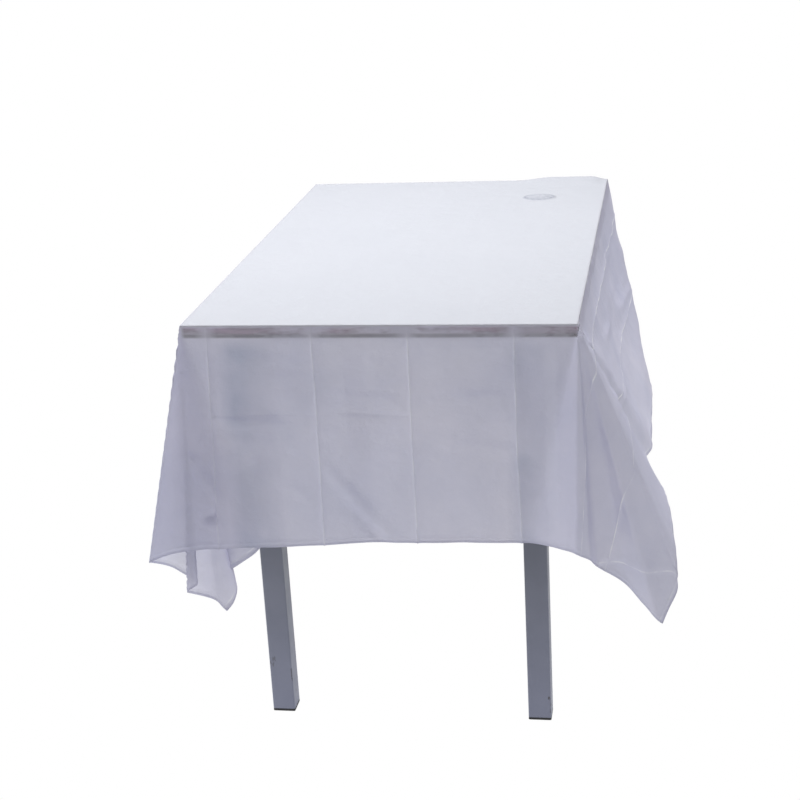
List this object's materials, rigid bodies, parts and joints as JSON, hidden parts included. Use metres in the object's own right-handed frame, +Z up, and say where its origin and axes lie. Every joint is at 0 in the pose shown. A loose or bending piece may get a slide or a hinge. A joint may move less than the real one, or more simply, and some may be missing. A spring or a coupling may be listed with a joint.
{
  "type": "tablecloth on a table",
  "caption": "Rectangular four-legged table under a thin translucent plastic film tablecloth that hangs down all sides and flares at the corners.",
  "frame": {"origin": "on the floor, under the middle of the whole object's bounding box, cloth included", "axes": "+Z up; +Y from the near short end of the table to the far one, along its length; +X to the right, seen from the near end"},
  "size_m": [0.846, 1.0922, 0.7238],
  "materials": {
    "film": "satin translucent plastic film",
    "laminate": "fine matt laminate",
    "chipboard": "raw chipboard",
    "edging": "satin edge banding",
    "painted_steel": "satin blue-grey powder coat",
    "black_plastic": "moulded matt",
    "zinc": "zinc plated"
  },
  "bodies": {
    "root": {"edge_band_front": "edging", "edge_band_left": "edging", "edge_band_rear": "edging", "edge_band_right": "edging", "foot_front_left": "black_plastic", "foot_front_right": "black_plastic", "foot_rear_left": "black_plastic", "foot_rear_right": "black_plastic", "leg_front_left": "painted_steel", "leg_front_right": "painted_steel", "leg_plate_front_left": "painted_steel", "leg_plate_front_right": "painted_steel", "leg_plate_rear_left": "painted_steel", "leg_plate_rear_right": "painted_steel", "leg_rear_left": "painted_steel", "leg_rear_right": "painted_steel", "plate_screw_front_left_1": "zinc", "plate_screw_front_left_2": "zinc", "plate_screw_front_left_3": "zinc", "plate_screw_front_left_4": "zinc", "plate_screw_front_right_1": "zinc", "plate_screw_front_right_2": "zinc", "plate_screw_front_right_3": "zinc", "plate_screw_front_right_4": "zinc", "plate_screw_rear_left_1": "zinc", "plate_screw_rear_left_2": "zinc", "plate_screw_rear_left_3": "zinc", "plate_screw_rear_left_4": "zinc", "plate_screw_rear_right_1": "zinc", "plate_screw_rear_right_2": "zinc", "plate_screw_rear_right_3": "zinc", "plate_screw_rear_right_4": "zinc", "rail_front": "painted_steel", "rail_left": "painted_steel", "rail_rear": "painted_steel", "rail_right": "painted_steel", "tablecloth": "film", "tabletop_backing": "laminate", "tabletop_core": "chipboard", "tabletop_laminate": "laminate"}
  },
  "joints": []
}
